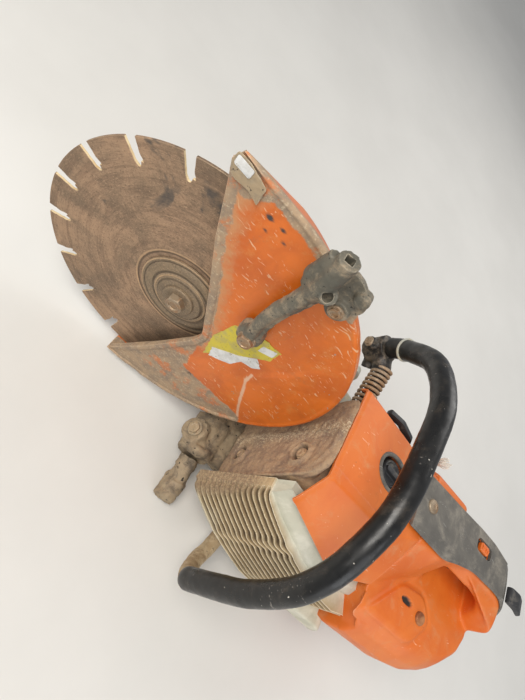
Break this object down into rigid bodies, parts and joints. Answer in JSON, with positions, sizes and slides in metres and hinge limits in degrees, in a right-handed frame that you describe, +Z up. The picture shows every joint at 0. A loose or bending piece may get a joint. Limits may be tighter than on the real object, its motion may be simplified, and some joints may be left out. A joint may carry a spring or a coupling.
{
  "type": "circular saw",
  "caption": "Petrol-driven hand-held circular cut-off saw with segmented wheel, tilting guard, belt arm, ribbed engine housing, loop handlebar and rear grip.",
  "frame": {"origin": "middle of the underside of the whole object's box, on the surface that the saw stands on", "axes": "+X forward along the saw towards the wheel, +Y to the operator's left, +Z up"},
  "size_m": [0.7982, 0.3634, 0.4388],
  "materials": {
    "wheel_steel": "worn brown-grey steel with circular scratches and dark smudges",
    "dark_steel": "dark machined steel with dust",
    "bright_steel": "plain steel fastener dulled by dust",
    "guard_paint": "orange enamel, scratched and dusty, bare grey along its edges",
    "cast_grey": "grey-black cast alloy with pale dust",
    "alloy": "pale cast alloy, dusty",
    "burnt_steel": "heat-stained brown sheet steel with sandy dust",
    "cream_casting": "pale ribbed casting filled with dried stone slurry",
    "orange_plastic": "orange moulded plastic, dusty and scuffed",
    "grey_plastic": "dark grey moulded plastic, lightly dusty",
    "black_rubber": "black semi-gloss sleeve with pale chips",
    "pale_rope": "frayed pale braided cord"
  },
  "bodies": {
    "root": {"front_foot_bolt": "dark_steel", "belt_cover_screw_front": "dark_steel", "belt_cover_screw_rear": "dark_steel", "spindle_bearing_left": "bright_steel", "spindle_bearing_right": "bright_steel", "crank_bearing_left": "bright_steel", "crank_bearing_right": "bright_steel", "spark_plug": "bright_steel", "muffler_bolt_lower": "bright_steel", "muffler_bolt_upper": "bright_steel", "handle_cover_screw": "bright_steel", "clamp_bolt": "bright_steel", "front_foot_bracket": "cast_grey", "front_foot": "cast_grey", "handlebar_lower": "cast_grey", "handlebar_clamp": "cast_grey", "arm": "alloy", "belt_cover": "alloy", "crankcase": "alloy", "engine_cylinder": "alloy", "carburettor": "alloy", "muffler": "burnt_steel", "av_spring": "burnt_steel", "fan_housing": "cream_casting", "shroud": "orange_plastic", "rear_housing": "orange_plastic", "handle_cover": "grey_plastic", "fuel_tank": "grey_plastic", "air_filter": "grey_plastic", "handlebar": "black_rubber", "v_belt": "black_rubber", "rope_end": "pale_rope"},
    "wheel": {"blade": "wheel_steel", "outer_flange": "wheel_steel", "inner_flange": "dark_steel", "blade_washer": "bright_steel", "blade_bolt": "bright_steel", "spindle": "bright_steel", "driven_pulley": "dark_steel"},
    "guard": {"guard_shell": "guard_paint", "guard_tip_plate": "bright_steel", "guard_bracket": "cast_grey", "guard_bracket_bolt": "bright_steel", "guard_handle": "cast_grey", "guard_handle_nut": "bright_steel"},
    "crank": {"crank_half_left": "bright_steel", "crank_half_right": "bright_steel", "flywheel": "alloy", "clutch_drum": "dark_steel", "clutch_shoes": "dark_steel"},
    "piston_group": {"piston": "alloy", "wrist_pin": "bright_steel", "connecting_rod": "bright_steel"},
    "starter": {"starter_pulley": "grey_plastic"},
    "trigger": {"throttle_trigger": "black_rubber"},
    "lockout": {"trigger_lockout": "grey_plastic"},
    "switch": {"stop_switch": "orange_plastic"},
    "filter_knob": {"filter_lock": "black_rubber"},
    "choke": {"choke_lever": "black_rubber"},
    "tank_cap": {"fuel_cap": "black_rubber"}
  },
  "joints": [
    {"name": "blade_spin", "type": "hinge", "parent": "root", "child": "wheel", "pos_m": [0.22416, -0.03385, 0.195], "axis": [0, 1, 0], "continuous": true},
    {"name": "crank_spin", "type": "hinge", "parent": "root", "child": "crank", "pos_m": [-0.07584, -0.03385, 0.133], "axis": [0, 1, 0], "continuous": true},
    {"name": "guard_tilt", "type": "hinge", "parent": "root", "child": "guard", "pos_m": [0.22416, -0.03385, 0.195], "axis": [0, 1, 0], "range_deg": [0, 45]},
    {"name": "piston_slide", "type": "slide", "parent": "root", "child": "piston_group", "axis": [-0.1685, 0, 0.9857], "range_m": [-0.034, 0]},
    {"name": "starter_pull", "type": "hinge", "parent": "root", "child": "starter", "pos_m": [-0.07584, -0.03385, 0.133], "axis": [0, 1, 0], "range_deg": [0, 340], "stiffness_Nm_per_rad": 0.02, "springref_deg": -28.65},
    {"name": "throttle", "type": "hinge", "parent": "root", "child": "trigger", "pos_m": [-0.23784, -0.03385, 0.239], "axis": [0, 1, 0], "range_deg": [0, 12], "stiffness_Nm_per_rad": 0.3, "springref_deg": -11.46},
    {"name": "lockout_press", "type": "hinge", "parent": "root", "child": "lockout", "pos_m": [-0.36584, -0.03385, 0.273], "axis": [0, 1, 0], "range_deg": [-10, 0], "stiffness_Nm_per_rad": 0.3, "springref_deg": 11.46},
    {"name": "stop_slide", "type": "slide", "parent": "root", "child": "switch", "axis": [1, 0, 0], "range_m": [-0.007, 0.007]},
    {"name": "filter_turn", "type": "hinge", "parent": "root", "child": "filter_knob", "pos_m": [-0.08784, -0.02885, 0.269], "axis": [-0.0799, 0, 0.9968], "range_deg": [0, 90]},
    {"name": "choke_lift", "type": "hinge", "parent": "root", "child": "choke", "pos_m": [-0.05584, -0.09685, 0.261], "axis": [0, 1, 0], "range_deg": [0, 25]},
    {"name": "cap_turn", "type": "hinge", "parent": "root", "child": "tank_cap", "pos_m": [-0.24584, -0.10785, 0.043], "axis": [0, -1, 0], "range_deg": [0, 90]}
  ],
  "couplings": [
    {"joint": "crank_spin", "follows": "blade_spin", "ratio": 1.5}
  ]
}
